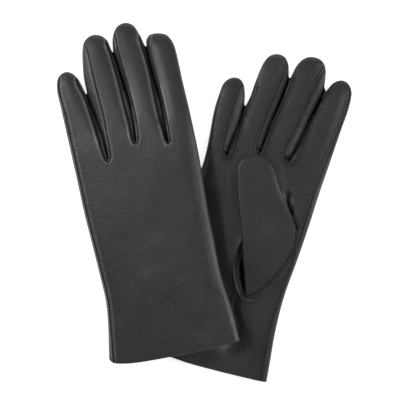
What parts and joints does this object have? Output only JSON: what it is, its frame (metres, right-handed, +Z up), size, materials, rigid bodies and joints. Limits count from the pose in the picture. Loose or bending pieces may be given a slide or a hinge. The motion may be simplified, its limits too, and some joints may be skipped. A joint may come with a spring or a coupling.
{
  "type": "pair of leather gloves",
  "caption": "Pair of smooth black leather dress gloves lying flat, one palm up partly under the other. Fingers fold, thumbs swing out and the gloves lift apart.",
  "frame": {"origin": "centre of the pair's box, on the surface that it lies on", "axes": "+Y along the gloves towards the fingertips, +X towards the thumb side of both gloves as they lie, +Z up"},
  "size_m": [0.2306, 0.2832, 0.037],
  "materials": {
    "leather": "smooth nappa, soft satin",
    "fourchette_leather": "smooth nappa, soft satin",
    "lining": "fine knit"
  },
  "bodies": {
    "right_hand": {"right_crotch_little_ring": "fourchette_leather", "right_crotch_middle_index": "fourchette_leather", "right_crotch_ring_middle": "fourchette_leather", "right_cuff_facing": "leather", "right_hand_back": "leather", "right_hand_lining": "lining", "right_hand_palm": "leather"},
    "right_little": {"right_little_back": "leather", "right_little_fourchette_thumbward": "fourchette_leather", "right_little_lining": "lining", "right_little_palm": "leather"},
    "right_ring": {"right_ring_back": "leather", "right_ring_fourchette_littleward": "fourchette_leather", "right_ring_fourchette_thumbward": "fourchette_leather", "right_ring_lining": "lining", "right_ring_palm": "leather"},
    "right_middle": {"right_middle_back": "leather", "right_middle_fourchette_littleward": "fourchette_leather", "right_middle_fourchette_thumbward": "fourchette_leather", "right_middle_lining": "lining", "right_middle_palm": "leather"},
    "right_index": {"right_index_back": "leather", "right_index_fourchette_littleward": "fourchette_leather", "right_index_lining": "lining", "right_index_palm": "leather"},
    "right_thumb": {"right_thumb_leather": "leather", "right_thumb_lining": "lining"},
    "left_hand": {"left_crotch_little_ring": "fourchette_leather", "left_crotch_middle_index": "fourchette_leather", "left_crotch_ring_middle": "fourchette_leather", "left_cuff_facing": "leather", "left_hand_back": "leather", "left_hand_lining": "lining", "left_hand_palm": "leather"},
    "left_little": {"left_little_back": "leather", "left_little_fourchette_thumbward": "fourchette_leather", "left_little_lining": "lining", "left_little_palm": "leather"},
    "left_ring": {"left_ring_back": "leather", "left_ring_fourchette_littleward": "fourchette_leather", "left_ring_fourchette_thumbward": "fourchette_leather", "left_ring_lining": "lining", "left_ring_palm": "leather"},
    "left_middle": {"left_middle_back": "leather", "left_middle_fourchette_littleward": "fourchette_leather", "left_middle_fourchette_thumbward": "fourchette_leather", "left_middle_lining": "lining", "left_middle_palm": "leather"},
    "left_index": {"left_index_back": "leather", "left_index_fourchette_littleward": "fourchette_leather", "left_index_lining": "lining", "left_index_palm": "leather"},
    "left_thumb": {"left_thumb_leather": "leather", "left_thumb_lining": "lining"}
  },
  "joints": [
    {"name": "pair_lift", "type": "slide", "parent": "right_hand", "child": "left_hand", "axis": [0, 0, 1], "range_m": [0, 0.2]},
    {"name": "right_little_curl", "type": "hinge", "parent": "right_hand", "child": "right_little", "pos_m": [0.00881, 0.04291, 0.0096], "axis": [0.9591, -0.2831, 0], "range_deg": [0, 80]},
    {"name": "right_ring_curl", "type": "hinge", "parent": "right_hand", "child": "right_ring", "pos_m": [0.03218, 0.04735, 0.0096], "axis": [0.9318, -0.363, 0], "range_deg": [0, 80]},
    {"name": "right_middle_curl", "type": "hinge", "parent": "right_hand", "child": "right_middle", "pos_m": [0.05724, 0.04165, 0.0096], "axis": [0.9261, -0.3773, 0], "range_deg": [0, 80]},
    {"name": "right_index_curl", "type": "hinge", "parent": "right_hand", "child": "right_index", "pos_m": [0.08209, 0.0319, 0.0096], "axis": [0.9214, -0.3886, 0], "range_deg": [0, 80]},
    {"name": "right_thumb_swing", "type": "hinge", "parent": "right_hand", "child": "right_thumb", "pos_m": [0.05623, -0.05213, 0.014], "axis": [0.5931, 0.8051, 0], "range_deg": [0, 150]},
    {"name": "left_little_curl", "type": "hinge", "parent": "left_hand", "child": "left_little", "pos_m": [-0.09116, 0.04662, 0.00536], "axis": [-0.939, -0.2772, -0.2035], "range_deg": [0, 80]},
    {"name": "left_ring_curl", "type": "hinge", "parent": "left_hand", "child": "left_ring", "pos_m": [-0.06898, 0.05946, 0.01025], "axis": [-0.9458, -0.2521, -0.2047], "range_deg": [0, 80]},
    {"name": "left_middle_curl", "type": "hinge", "parent": "left_hand", "child": "left_middle", "pos_m": [-0.04468, 0.063, 0.01546], "axis": [-0.9501, -0.2349, -0.2053], "range_deg": [0, 80]},
    {"name": "left_index_curl", "type": "hinge", "parent": "left_hand", "child": "left_index", "pos_m": [-0.02128, 0.06238, 0.02044], "axis": [-0.9528, -0.2231, -0.2058], "range_deg": [0, 80]},
    {"name": "left_thumb_swing", "type": "hinge", "parent": "left_hand", "child": "left_thumb", "pos_m": [-0.0029, -0.02171, 0.01876], "axis": [-0.1328, -0.9903, -0.0412], "range_deg": [0, 150]}
  ],
  "couplings": [
    {"joint": "left_thumb_swing", "follows": "pair_lift", "rad_per_m": 13}
  ]
}
